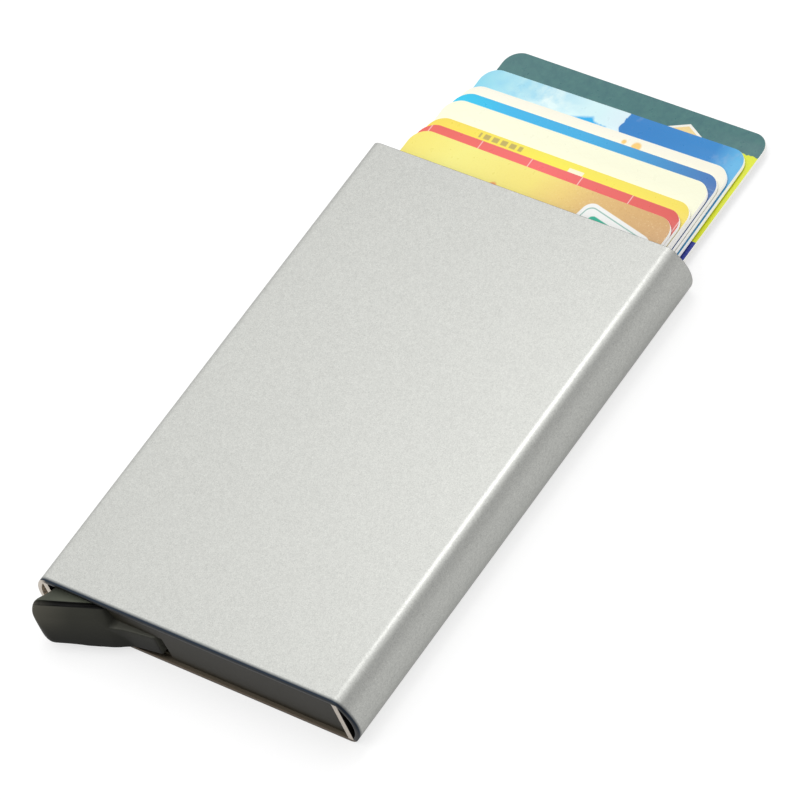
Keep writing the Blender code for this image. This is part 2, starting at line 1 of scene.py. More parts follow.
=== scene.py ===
"""A pop-up card holder with eight payment cards fanned out of its mouth.

Metres, +Z up, +Y out of the mouth, with the thumb lever at the near left corner.
Each section makes one piece of the holder, in the order in which it is put together.
The last sections set the table, the studio, the lamp and the camera.
"""

import json
import math

import bmesh
import bpy
from mathutils import Euler, Matrix, Vector


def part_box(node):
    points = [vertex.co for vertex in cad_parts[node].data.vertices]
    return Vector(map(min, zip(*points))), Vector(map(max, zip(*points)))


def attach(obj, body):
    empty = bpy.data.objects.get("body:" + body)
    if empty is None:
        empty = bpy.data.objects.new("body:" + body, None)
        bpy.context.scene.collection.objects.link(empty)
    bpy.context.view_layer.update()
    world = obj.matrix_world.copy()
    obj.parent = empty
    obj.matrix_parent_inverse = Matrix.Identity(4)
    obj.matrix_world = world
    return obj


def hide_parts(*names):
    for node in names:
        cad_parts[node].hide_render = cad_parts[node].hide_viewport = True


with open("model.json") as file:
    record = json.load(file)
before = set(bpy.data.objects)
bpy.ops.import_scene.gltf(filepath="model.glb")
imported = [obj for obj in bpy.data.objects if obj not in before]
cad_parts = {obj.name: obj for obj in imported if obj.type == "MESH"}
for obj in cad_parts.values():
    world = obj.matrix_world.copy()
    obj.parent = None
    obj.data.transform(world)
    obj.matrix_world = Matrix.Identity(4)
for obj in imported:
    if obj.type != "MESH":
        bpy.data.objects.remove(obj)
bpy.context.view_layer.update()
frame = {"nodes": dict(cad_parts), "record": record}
MM = 0.001


# The sleeve is one aluminium extrusion, sawn to length. A flat slot takes the cards, and
# each bulged flank is hollow. It is blasted with fine beads and anodised clear, and its
# cut edges are lightly rounded.
class Link:
    """A node's output that can be used in sums, such as 1 - mask."""

    def __init__(self, graph, socket):
        self.graph = graph
        self.socket = socket

    def __add__(self, other):
        return self.graph.calculate("ADD", self, other)

    def __sub__(self, other):
        return self.graph.calculate("SUBTRACT", self, other)

    def __rsub__(self, other):
        return self.graph.calculate("SUBTRACT", other, self)

    def __mul__(self, other):
        return self.graph.calculate("MULTIPLY", self, other)

    __radd__ = __add__


class Graph:
    """A node tree, with one method that adds any node."""

    def __init__(self, tree):
        self.tree = tree

    def node(self, kind, inputs=None, output=0, stops=None, **settings):
        """Add a node with its settings, colour stops and inputs, and give one output."""
        made = self.tree.nodes.new(kind)
        for name, value in settings.items():
            setattr(made, name, value)
        if stops:
            ramp = made.color_ramp
            while len(ramp.elements) < len(stops):
                ramp.elements.new(1.0)
            for element, (position, light) in zip(ramp.elements, stops):
                element.position = position
                element.color = (*light, 1.0)
        for key, value in (inputs or {}).items():
            self.feed(made, key, value)
        return Link(self, made.outputs[output])

    def feed(self, made, key, value):
        """Link or set an input, found by its number, identifier or name."""
        sockets = list(made.inputs)
        if isinstance(key, int):
            socket = sockets[key]
        else:
            socket = next(s for s in sockets if key in (s.identifier, s.name))
        if isinstance(value, Link):
            self.tree.links.new(value.socket, socket)
        else:
            socket.default_value = value

    def calculate(self, operation, first, second=0.0):
        return self.node("ShaderNodeMath", {0: first, 1: second}, operation=operation)

    def axes(self, place):
        """A point's x, y and z."""
        split = self.node("ShaderNodeSeparateXYZ", {0: place})
        return [Link(self, output) for output in split.socket.node.outputs]


class Finish(Graph):
    """A material with one Principled shader, painted in the part's own millimetres."""

    def __init__(self, name, **surface):
        self.material = bpy.data.materials.new(name)
        self.material.use_nodes = True
        super().__init__(self.material.node_tree)
        self.shader = self.tree.nodes["Principled BSDF"]
        for key, value in surface.items():
            self.set(key.replace("_", " "), value)

    def set(self, key, value):
        self.feed(self.shader, key, value)

    def place(self):
        """The point on the part, in millimetres."""
        point = self.node("ShaderNodeTexCoord", output="Object")
        return self.node("ShaderNodeVectorMath", {0: point, "Scale": 1 / MM}, operation="SCALE")

    def noise(self, place, size, detail=2.0, roughness=0.5, seed=0.0):
        """Noise from 0 to 1, with spots about this many millimetres across."""
        inputs = {"Vector": place, "W": seed, "Scale": 1 / size}
        inputs.update({"Detail": detail, "Roughness": roughness})
        return self.node("ShaderNodeTexNoise", inputs, noise_dimensions="4D")

    def blend(self, factor, first, second):
        """The first colour where the factor is 0, the second where it is 1."""
        inputs = {"Factor_Float": factor, "A_Color": first, "B_Color": second}
        return self.node("ShaderNodeMix", inputs, output=2, data_type="RGBA")

    def between(self, value, low, high, start=0.0, end=1.0):
        """The value's place from low to high, held within start and end."""
        span = {"Value": value, "From Min": low, "From Max": high, "To Min": start, "To Max": end}
        return self.node("ShaderNodeMapRange", span)

    def under(self, value, limit, soft=0.03):
        """1 where the value is below the limit, 0 above it."""
        return self.between(value, limit - soft, limit + soft, 1.0, 0.0)

    def bump(self, height, depth):
        """Push the surface in and out by a height from 0 to 1, up to this many millimetres."""
        inputs = {"Height": height, "Distance": depth * MM, "Strength": 1.0}
        self.set("Normal", self.node("ShaderNodeBump", inputs))


def colour(red, green, blue):
    """A colour as a screen shows it, from 0 to 255, turned into scene light."""
    light = []
    for value in (red, green, blue):
        share = value / 255
        light.append(share / 12.92 if share < 0.04045 else ((share + 0.055) / 1.055) ** 2.4)
    return (*light, 1.0)


def tree_with(name, **sizes):
    """A Geometry Nodes tree with a geometry input and named inputs for its sizes."""
    tree = bpy.data.node_groups.new(name, "GeometryNodeTree")
    tree.interface.new_socket("Geometry", in_out="INPUT", socket_type="NodeSocketGeometry")
    tree.interface.new_socket("Geometry", in_out="OUTPUT", socket_type="NodeSocketGeometry")
    for label, kind in sizes.items():
        tree.interface.new_socket(label, in_out="INPUT", socket_type=f"NodeSocket{kind}")
    graph = Graph(tree)
    entry = tree.nodes.new("NodeGroupInput")
    given = {socket.name: Link(graph, socket) for socket in entry.outputs if socket.name}
    return graph, given


def close_tree(graph, geometry, material, **chosen):
    """End a tree: realise its instances and set the material, on the chosen faces or on all."""
    realised = graph.node("GeometryNodeRealizeInstances", {0: geometry})
    coated = graph.node("GeometryNodeSetMaterial", {0: realised, "Material": material, **chosen})
    exit_node = graph.tree.nodes.new("NodeGroupOutput")
    graph.tree.links.new(coated.socket, exit_node.inputs[0])


WELD = MM / 1000


def thicken(graph, flat, depth):
    """A closed body from flat faces: the faces, their walls and the faces again."""
    inputs = {"Mesh": flat, "Offset Scale": depth, "Individual": False}
    raised = graph.node("GeometryNodeExtrudeMesh", inputs)
    under = graph.node("GeometryNodeFlipFaces", {0: flat})
    both = graph.tree.nodes.new("GeometryNodeJoinGeometry")
    graph.tree.links.new(under.socket, both.inputs[0])
    graph.tree.links.new(raised.socket, both.inputs[0])
    closed = {0: Link(graph, both.outputs[0]), "Distance": WELD}
    return graph.node("GeometryNodeMergeByDistance", closed)


def grow(name, base, tree, values, before=(), after=()):
    """Run a tree, and any modifiers before or after it, on a base; give a plain mesh."""
    item = bpy.data.objects.new(name, base)
    bpy.context.scene.collection.objects.link(item)
    for kind, settings in (*before, ("NODES", {"node_group": tree}), *after):
        modifier = item.modifiers.new(kind.lower(), kind)
        for key, value in settings.items():
            setattr(modifier, key, value)
    grower = item.modifiers["nodes"]
    for socket in tree.interface.items_tree:
        if socket.in_out == "INPUT" and socket.name in values:
            grower[socket.identifier] = values[socket.name]
    bpy.context.view_layer.update()
    graph = bpy.context.evaluated_depsgraph_get()
    mesh = bpy.data.meshes.new_from_object(item.evaluated_get(graph))
    bpy.data.objects.remove(item)
    return mesh


def eased(width):
    """A bevel that rounds the sharp edges by this width."""
    angle = math.radians(50)
    return "BEVEL", {"width": width, "segments": 2, "limit_method": "ANGLE", "angle_limit": angle}


def keep(name, mesh, body, slot, *nodes, smooth_to=35.0):
    """Put a finished mesh in the scene in place of its CAD nodes, on its body."""
    mesh.shade_smooth()
    mesh.set_sharp_from_angle(angle=math.radians(smooth_to))
    item = bpy.data.objects.new(name, mesh)
    bpy.context.scene.collection.objects.link(item)
    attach(item, body)
    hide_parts(*nodes)


def repaint(finish, *nodes):
    """Give CAD nodes whose shape is right a better finish."""
    for name in nodes:
        node = frame["nodes"][name]
        node.data.materials.clear()
        node.data.materials.append(finish.material)


def arc(centre_x, centre_z, radius, start, end, steps):
    """Points in XZ along an arc, from a start to an end angle."""
    turns = [start + (end - start) * step / steps for step in range(steps + 1)]
    return [(centre_x + radius * math.cos(t), centre_z + radius * math.sin(t)) for t in turns]


sleeve_low, sleeve_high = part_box("tube_shell")
SLEEVE_WIDTH = sleeve_high.x - sleeve_low.x
SLEEVE_HEIGHT = sleeve_high.z - sleeve_low.z
MOUTH_Y = sleeve_high.y
NEAR_Y = sleeve_low.y
WALL = 0.75 * MM
WEB = 1.05 * MM
CHANNEL_DEPTH = 1.55 * MM
SIDE_RADIUS = 7.4 * MM
CREASE_RADIUS = 2.3 * MM
SLOT_CORNER = 0.25 * MM
EASED_EDGE = 0.22 * MM
CHANNEL_CORNER = 0.1 * MM
CREASE_STEPS = 14
SIDE_STEPS = 36
CORNER_STEPS = 6
SLOT_X = SLEEVE_WIDTH / 2 - WALL - CHANNEL_DEPTH - WEB
SLOT_TOP = SLEEVE_HEIGHT - WALL


def flank(inset):
    """The right flank in XZ, from its upper to its lower crease, moved in by inset."""
    middle = SLEEVE_HEIGHT / 2
    side_x = SLEEVE_WIDTH / 2 - SIDE_RADIUS
    rise = middle - CREASE_RADIUS
    core = SIDE_RADIUS - CREASE_RADIUS
    tilt = math.asin(rise / core)
    crease_x = side_x + core * math.cos(tilt)
    crease = CREASE_RADIUS - inset
    top = arc(crease_x, middle + rise, crease, math.pi / 2, tilt, CREASE_STEPS)
    side = arc(side_x, middle, SIDE_RADIUS - inset, tilt, -tilt, SIDE_STEPS)
    bottom = arc(crease_x, middle - rise, crease, -tilt, -math.pi / 2, CREASE_STEPS)
    return top + side[1:-1] + bottom


def slot_outline():
    """The slot in XZ, with small round corners."""
    points = []
    for turn, (x, z) in enumerate(((1, 1), (-1, 1), (-1, -1), (1, -1))):
        middle = SLEEVE_HEIGHT / 2
        centre_x = x * (SLOT_X - SLOT_CORNER)
        centre_z = middle + z * (SLOT_TOP - middle - SLOT_CORNER)
        start = turn * math.pi / 2
        points += arc(centre_x, centre_z, SLOT_CORNER, start, start + math.pi / 2, CORNER_STEPS)
    return points


def channel_outline(side):
    """A flank's hollow in XZ, between the web and the wall, on the right (1) or left (-1)."""
    web_face = SLOT_X + WEB
    inside = [point for point in flank(WALL) if point[0] > web_face + CHANNEL_CORNER]
    points = [(web_face, inside[0][1])] + inside + [(web_face, inside[-1][1])]
    return [(side * x, z) for x, z in points]


section = bpy.data.curves.new("sleeve section", "CURVE")
section.dimensions = "3D"
right = flank(0.0)
left = [(-x, z) for x, z in reversed(right)]
for outline in (right + left, slot_outline(), channel_outline(1), channel_outline(-1)):
    spline = section.splines.new("POLY")
    spline.points.add(len(outline) - 1)
    for point, (x, z) in zip(spline.points, outline):
        point.co = (x, z, 0.0, 1.0)
    spline.use_cyclic_u = True

sleeve_tree, given = tree_with("drawn sleeve", Length="Float", Mouth="Float", Metal="Material")
faces = sleeve_tree.node("GeometryNodeFillCurve", {0: given["Geometry"]}, mode="NGONS")
drawn = thicken(sleeve_tree, faces, given["Length"])
shift = sleeve_tree.node("ShaderNodeCombineXYZ", {"Y": given["Mouth"]})
upright = {0: drawn, "Translation": shift, "Rotation": Euler((math.pi / 2, 0.0, 0.0))}
stood = sleeve_tree.node("GeometryNodeTransform", upright)
close_tree(sleeve_tree, stood, given["Metal"])

# Masks, in the part's millimetres: the sawn ends, the walls inside and the webs' ends.
blasted = Finish("bead-blasted aluminium", Metallic=1.0)
where = blasted.place()
x, y, z = blasted.axes(where)
half_height = SLEEVE_HEIGHT / 2 / MM
inner_height = half_height - WALL / MM
slot_face = SLOT_X / MM
channel_face = slot_face + WEB / MM
past_face = 0.04
off_middle = blasted.calculate("ABSOLUTE", x)
off_centre = blasted.calculate("ABSOLUTE", z - half_height)
end_depth = MOUTH_Y / MM - blasted.calculate("ABSOLUTE", y)
cut_end = blasted.under(end_depth, 0.06)
between_walls = blasted.under(off_centre, inner_height + past_face)
in_slot = blasted.under(off_middle, slot_face + past_face) * between_walls
off_flank = off_middle - (SLEEVE_WIDTH / 2 - SIDE_RADIUS) / MM
bulge = blasted.calculate("SQRT", off_flank * off_flank + off_centre * off_centre)
in_channel = blasted.under(bulge, (SIDE_RADIUS - WALL) / MM + past_face) * between_walls
in_channel = in_channel * (1 - blasted.under(off_middle, channel_face - past_face))
inside = blasted.calculate("MAXIMUM", in_slot, in_channel)
web_end = cut_end * (1 - blasted.under(off_middle, slot_face - 0.02))
web_end = web_end * blasted.under(off_middle, channel_face + 0.02)
web_end = web_end * blasted.under(off_centre, inner_height)

# The skin has a fine grain and a mottle, and painted light gives it a slight rise in tone
# from left to right. The near rim is painted dark, a painted reflection in its rounded edge.
grain = blasted.noise(where, 0.2, 3.0, 0.65)
mottle = blasted.between(blasted.noise(where, 0.5, 3.0, 0.7, 8.0), 0.3, 0.7)
cloud = blasted.noise(where, 3.0, 2.0, 0.5, 4.0)
speckle = blasted.between(grain, 0.32, 0.68)
# Painted light: the skin's tone rises from left to right.
rise = (x - 8.0) * 0.0034
tone = speckle * 0.6 + mottle * 0.34 + cloud * 0.06 + rise
anodised = blasted.blend(tone, colour(184, 185, 181), colour(230, 231, 226))
# Painted reflection: the near rim darkens to a blue-grey.
painted_dark_rim = blasted.between(y - NEAR_Y / MM, 0.32, 0.88, 1.0, 0.0)
anodised = blasted.blend(painted_dark_rim, anodised, colour(46, 55, 66))

# The sawn ends show saw marks under painted shade, with a tan painted reflection at the
# bottom and painted highlights on the webs and on the near left flank. The walls inside
# carry painted shade, with painted light that makes them a little paler at the floor and
# pale in that same flank.
stretch = {0: where, 1: (1.0, 1.0, 9.0)}
stretched = blasted.node("ShaderNodeVectorMath", stretch, operation="MULTIPLY")
saw_marks = blasted.noise(stretched, 0.5)
sawn_end_shade = blasted.blend(saw_marks, colour(44, 46, 50), colour(64, 66, 68))
# Painted reflection: the bottom wall's sawn end is tan.
sawn_end_shade = blasted.blend(blasted.under(z, 0.8), sawn_end_shade, colour(112, 98, 84))
# Painted highlight: the webs' ends and the near left flank's end are bright.
sawn_end_highlight = blasted.blend(saw_marks, colour(218, 206, 194), colour(255, 246, 232))
left_flank = blasted.under(x, -30.0, 0.6) * blasted.under(y, 0.0)
sawn_end_shade = blasted.blend(left_flank, sawn_end_shade, sawn_end_highlight)
unlit = blasted.blend(cloud, colour(74, 68, 62), colour(92, 86, 80))
# Painted light lifts the inner floor and the near left flank's inside.
unlit = blasted.blend(blasted.under(z, 1.0), unlit, colour(98, 90, 78))
unlit = blasted.blend(left_flank, unlit, colour(236, 228, 216))
metal = blasted.blend(inside, anodised, unlit)
metal = blasted.blend(cut_end, metal, sawn_end_shade)
blasted.set("Base Color", blasted.blend(web_end, metal, sawn_end_highlight))
blasted.set("Roughness", (0.42 - speckle * 0.05) * (1 - cut_end) + cut_end * 0.34)
blasted.bump(grain, 0.012)

sizes = {"Length": MOUTH_Y - NEAR_Y, "Mouth": MOUTH_Y, "Metal": blasted.material}
sleeve_mesh = grow("sleeve", section, sleeve_tree.tree, sizes, after=[eased(EASED_EDGE)])
keep("sleeve", sleeve_mesh, "holder", "sleeve aluminium", "tube_shell")


# Two moulded guide rails line the slot's sides and centre the cards. They are nylon,
# black with a satin skin from a spark-eroded mould, and slide in before the cap.
class Moulded(Finish):
    """Moulded plastic: a fine spark-eroded skin with faint flow marks."""

    def __init__(self, name, dark, light, roughness, **surface):
        super().__init__(name, IOR=1.47, **surface)
        place = self.place()
        skin = self.noise(place, 0.12, 2.0, 0.6)
        flow = self.noise(place, 5.0, 2.0, 0.5, 2.0)
        self.tone = self.blend(flow * 0.6 + skin * 0.4, dark, light)
        self.set("Base Color", self.tone)
        self.set("Roughness", roughness + flow * 0.08)
        self.bump(skin, 0.01)


rail_nylon = Moulded("guide rail nylon", colour(44, 44, 45), colour(62, 62, 63), 0.4)
repaint(rail_nylon, "left_guide_rail", "right_guide_rail")


# Felt strips on the rails and a felt pad under the top wall grip the cards near the
# mouth, so that they stay where they are put. The felt is die-cut wool and polyester.
felt = Finish("pressed felt", Roughness=0.95)
felt_place = felt.place()
nap = felt.noise(felt_place, 0.18, 4.0, 0.7)
tufts = felt.noise(felt_place, 0.9, 3.0, 0.6, 3.0)
felt.set("Base Color", felt.blend(nap * 0.6 + tufts * 0.4, colour(20, 20, 21), colour(62, 61, 62)))
felt.bump(nap + tufts, 0.08)
repaint(felt, "left_edge_felt", "right_edge_felt", "mouth_pad")


# Two steel pins carry the lever and the ejector arm. They are cut from rod and ground
# round, which leaves fine rings, and each is held between the end cap's two cheeks.
ground = Finish("ground pin steel", Metallic=1.0)
stretch = {0: ground.place(), 1: (0.3, 0.3, 14.0)}
rings = ground.node("ShaderNodeVectorMath", stretch, operation="MULTIPLY")
grinding = ground.noise(rings, 1.0, 2.0, 0.6)
ground.set("Base Color", ground.blend(grinding, colour(176, 176, 178), colour(214, 214, 216)))
ground.set("Roughness", 0.24 + grinding * 0.14)
repaint(ground, "thumb_lever_pin", "ejector_arm_pin")


# The ejector arm is one moulding of glass-filled nylon. It has a step for each card and
# a fork for the lever's nose, and it turns on its pin between the cap's cheeks.
arm_nylon = Moulded("ejector arm nylon", colour(52, 52, 54), colour(72, 72, 74), 0.42)
repaint(arm_nylon, "ejector_arm")


# The thumb lever is one moulding of black plastic. Its pad flares out past the sleeve's
# corner, bellied below a groove along its upper edge, and a low neck runs in through the
# cap's window to the hub on its pin and the nose that works the arm.
# These are in millimetres, and each point of the path has its share of the radius.
PAD_TOP = 9.25
GROOVE_RADIUS = 0.45
GROOVE_Z = 9.12
GROOVE_PATH = ((-30.9, -51.96, 0.25), (-29.0, -51.31, 1.0), (-18.2, -47.59, 0.5))
GROOVE_X, GROOVE_Y, _ = GROOVE_PATH[0]
GROOVE_SLOPE = (GROOVE_PATH[2][1] - GROOVE_Y) / (GROOVE_PATH[2][0] - GROOVE_X)

# The upper edge is painted pale as painted light, more so towards the hub, where it lifts
# the sleeve's shade. The outer face is paler towards its left end. Painted shade darkens
# the lower half and the groove, and painted light lifts the shade on the neck's ledge.
lever_plastic = Moulded(
    "thumb lever plastic", colour(54, 54, 48), colour(65, 65, 58), 0.4, Specular_IOR_Level=0.16
)
x, y, z = lever_plastic.axes(lever_plastic.place())
# Painted light: the upper edge is paler, more so towards the hub.
painted_lit_top = lever_plastic.between(z, 8.9, PAD_TOP)
lower = lever_plastic.between(z, 7.0, 1.8)
paler_left_face = lever_plastic.between(x, -23.5, -29.5) * lever_plastic.between(z, 3.5, 6.5)
# Painted light lifts the shade on the neck's ledge and its end.
ledge = lever_plastic.between(z, 6.0, 6.15) * lever_plastic.under(z, 6.5)
ledge = ledge * (1 - lever_plastic.under(x, -16.6, 0.6))
ledge_end = lever_plastic.between(y, -47.95, -47.8) * (1 - lever_plastic.under(x, -12.5))
painted_ledge_light = lever_plastic.calculate("MAXIMUM", ledge, ledge_end)
lever_tone = lever_plastic.blend(paler_left_face, lever_plastic.tone, colour(90, 88, 79))
towards_hub = lever_plastic.between(x, -28.0, -21.0)
painted_top_light = lever_plastic.blend(towards_hub, colour(79, 82, 72), colour(108, 112, 98))
lever_tone = lever_plastic.blend(painted_lit_top, lever_tone, painted_top_light)
# Painted shade darkens the lower half of the pad.
lever_tone = lever_plastic.blend(lower * 0.85, lever_tone, colour(26, 26, 24))
lever_tone = lever_plastic.blend(painted_ledge_light, lever_tone, colour(92, 92, 84))
off_groove = y - GROOVE_Y - (x - GROOVE_X) * GROOVE_SLOPE
off_groove = off_groove * math.cos(math.atan(GROOVE_SLOPE))
over_groove = z - GROOVE_Z
groove_reach = lever_plastic.calculate("SQRT", off_groove * off_groove + over_groove * over_groove)
groove_shade = lever_plastic.under(groove_reach, GROOVE_RADIUS, 0.06)
groove_shade = groove_shade * (1 - lever_plastic.under(x, -29.6, 0.9))
# Painted shade darkens the groove.
lever_plastic.set("Base Color", lever_plastic.blend(groove_shade, lever_tone, colour(14, 14, 13)))

# The moulding starts from the solid lever, with its loose triangles joined.
cast = bmesh.new()
lever_node = frame["nodes"]["thumb_lever"]
cast.from_mesh(lever_node.data)
cast.transform(lever_node.matrix_world)
bmesh.ops.remove_doubles(cast, verts=cast.verts, dist=WELD)
lever_blank = bpy.data.meshes.new("lever blank")
cast.to_mesh(lever_blank)
cast.free()

# The groove is cut by a thin tapered bar.
groove = bpy.data.curves.new("lever groove", "CURVE")
groove.dimensions = "3D"
groove.bevel_depth = GROOVE_RADIUS * MM
groove.use_fill_caps = True
line = groove.splines.new("POLY")
line.points.add(len(GROOVE_PATH) - 1)
for point, (at_x, at_y, share) in zip(line.points, GROOVE_PATH):
    point.co = (at_x * MM, at_y * MM, GROOVE_Z * MM, 1.0)
    point.radius = share
groove_curve = bpy.data.objects.new("lever groove", groove)
bpy.context.scene.collection.objects.link(groove_curve)
bpy.context.view_layer.update()
evaluated = groove_curve.evaluated_get(bpy.context.evaluated_depsgraph_get())
groove_mesh = bpy.data.meshes.new_from_object(evaluated)
bpy.data.objects.remove(groove_curve)
groove_tool = bpy.data.objects.new("lever groove", groove_mesh)
bpy.context.scene.collection.objects.link(groove_tool)

# The tree pushes the belly out and rounds the edges, fully up to the x called Round and
# hardly at all from the x called Crisp on.
lever_tree, given = tree_with(
    "soft moulded pad", Passes="Int", Round="Float", Crisp="Float", Belly="Vector", Plastic="Material"
)
position = lever_tree.node("GeometryNodeInputPosition")
along, outward, height = lever_tree.axes(position)


def ramp_between(value, start, end):
    """A soft step from 0 at the start to 1 at the end, in millimetres."""
    span = {"Value": value, "From Min": start * MM, "From Max": end * MM}
    return lever_tree.node("ShaderNodeMapRange", span, interpolation_type="SMOOTHSTEP")


below_edge = ramp_between(height, PAD_TOP, 7.6)
on_pad = ramp_between(along, -13.5, -17.5) * ramp_between(outward, -48.25, -49.0)
belly = {0: given["Belly"], "Scale": below_edge * on_pad}
push = lever_tree.node("ShaderNodeVectorMath", belly, operation="SCALE")
bellied = lever_tree.node("GeometryNodeSetPosition", {0: given["Geometry"], "Offset": push})
fade = {"Value": along, "From Min": given["Round"], "From Max": given["Crisp"]}
fade.update({"To Min": 1.0, "To Max": 0.05})
softness = lever_tree.node("ShaderNodeMapRange", fade, interpolation_type="SMOOTHSTEP")
averaged = {"Value": position, "Iterations": given["Passes"], "Weight": softness}
smoothed = lever_tree.node("GeometryNodeBlurAttribute", averaged, data_type="FLOAT_VECTOR")
pad = lever_tree.node("GeometryNodeSetPosition", {0: bellied, "Position": smoothed})
close_tree(lever_tree, pad, given["Plastic"])

LEVER_VOXEL = 0.11 * MM
sizes = {
    "Passes": 60, "Round": -26.5 * MM, "Crisp": -21.5 * MM,
    "Belly": Vector((-0.22, -0.52, 0.0)) * MM, "Plastic": lever_plastic.material,
}
voxels = ("REMESH", {"mode": "VOXEL", "voxel_size": LEVER_VOXEL})
cut = ("BOOLEAN", {"object": groove_tool, "operation": "DIFFERENCE", "solver": "EXACT"})
lever_mesh = grow("thumb_lever_moulding", lever_blank, lever_tree.tree, sizes, [voxels], [cut])
bpy.data.objects.remove(groove_tool)
keep("thumb_lever_moulding", lever_mesh, "lever", "black plastic", "thumb_lever", smooth_to=60.0)


# The end cap closes the near end and carries both pins. It is moulded in black plastic,
# a little darker and warmer than the lever's, and is pushed in until its face sits a
# little inside the sleeve.
cap_plastic = Moulded(
    "end cap plastic", colour(38, 35, 25), colour(50, 47, 37), 0.38, Specular_IOR_Level=0.35
)
repaint(cap_plastic, "end_cap")


# Eight payment cards, bottom to top. Each is a sandwich of white sheets with a printed
# face and back under clear film, punched out with round corners, so that its cut edge
# shows white.
CARD_WIDTH = 53.98 * MM
CARD_LENGTH = 85.6 * MM
CARD_CORNER = 3.18 * MM
CARD_CORNER_STEPS = 12
CARD_EDGE = 0.05 * MM
CARD_TURNS = (0.0, 0.6, 0.75, 0.55, 0.55, -0.15, -0.35, -0.6)

card_tree, given = tree_with(
    "payment card", Width="Float", Length="Float", Thickness="Float", Corner="Float",
    Place="Vector", Skew="Vector", Face="Material", Back="Material", Core="Material",
)
oblong = card_tree.node(
    "GeometryNodeCurvePrimitiveQuadrilateral", {"Width": given["Width"], "Height": given["Length"]}
)
rounding = {"Curve": oblong, "Count": CARD_CORNER_STEPS, "Radius": given["Corner"]}
punched = card_tree.node("GeometryNodeFilletCurve", rounding, mode="POLY")
sheet = card_tree.node("GeometryNodeFillCurve", {0: punched}, mode="NGONS")
body = thicken(card_tree, sheet, given["Thickness"])
stance = {0: body, "Translation": given["Place"], "Rotation": given["Skew"]}
placed = card_tree.node("GeometryNodeTransform", stance)
normal = card_tree.node("GeometryNodeInputNormal")
upward = card_tree.node("ShaderNodeSeparateXYZ", {0: normal}, output="Z")
faces_up = card_tree.node("FunctionNodeCompare", {"A": upward, "B": 0.5}, operation="GREATER_THAN")
faces_down = card_tree.node("FunctionNodeCompare", {"A": upward, "B": -0.5}, operation="LESS_THAN")
cored = card_tree.node("GeometryNodeSetMaterial", {0: placed, "Material": given["Core"]})
faced = {0: cored, "Selection": faces_up, "Material": given["Face"]}
printed = card_tree.node("GeometryNodeSetMaterial", faced)
close_tree(card_tree, printed, given["Back"], Selection=faces_down)

# The cut edges are given a faint glow, painted light that brightens them.
core = Finish("white card core", Roughness=0.45, Emission_Strength=0.4)
fuzz = core.noise(core.place(), 0.2, 3.0, 0.6)
white_and_glow = core.blend(fuzz, colour(236, 235, 230), colour(253, 252, 249))
core.set("Base Color", white_and_glow)
core.set("Emission Color", white_and_glow)
core.bump(fuzz, 0.01)


def disc(paint, x, y, centre_x, centre_y, radius, soft=0.08):
    """1 inside a printed disc, 0 outside."""
    across = x - centre_x
    along = y - centre_y
    reach = paint.calculate("SQRT", across * across + along * along)
    return paint.between(reach, radius - soft, radius + soft, 1.0, 0.0)


def panel(paint, x, y, centre_x, centre_y, half_x, half_y, corner, soft=0.08):
    """1 inside a printed panel with round corners, 0 outside."""
    across = paint.calculate("ABSOLUTE", x - centre_x) - (half_x - corner)
    across = paint.calculate("MAXIMUM", across, 0.0)
    along = paint.calculate("ABSOLUTE", y - centre_y) - (half_y - corner)
    along = paint.calculate("MAXIMUM", along, 0.0)
    reach = paint.calculate("SQRT", across * across + along * along)
    return paint.between(reach, corner - soft, corner + soft, 1.0, 0.0)


def stripes(paint, value, pitch, width, soft=0.06):
    """1 on printed lines of this width at this pitch along value, 0 between them."""
    within = paint.calculate("PINGPONG", value, pitch / 2)
    return paint.between(within, width / 2 - soft, width / 2 + soft, 1.0, 0.0)


def print_green(paint, x, y):
    """Deep green, with a pale lozenge at its far edge and a lime and a navy side strip."""
    mottle = paint.noise(paint.place(), 1.1, 3.0, 0.6)
    base = paint.blend(paint.between(mottle, 0.3, 0.7), colour(56, 108, 112), colour(70, 122, 120))
    off_centre = paint.calculate("ABSOLUTE", x - 12.0) * 0.5 + paint.calculate("ABSOLUTE", y + 5.4)
    base = paint.blend(paint.under(off_centre, 2.9), base, colour(244, 244, 236))
    base = paint.blend(paint.under(off_centre, 2.4), base, colour(240, 214, 150))
    strip = 1 - paint.under(x, 21.5)
    edge = y + paint.noise(paint.place(), 0.7) * 0.8
    base = paint.blend(paint.under(edge, -4.1) * strip, base, colour(228, 236, 8))
    return paint.blend(paint.under(y, -23.3) * strip, base, colour(34, 54, 160))


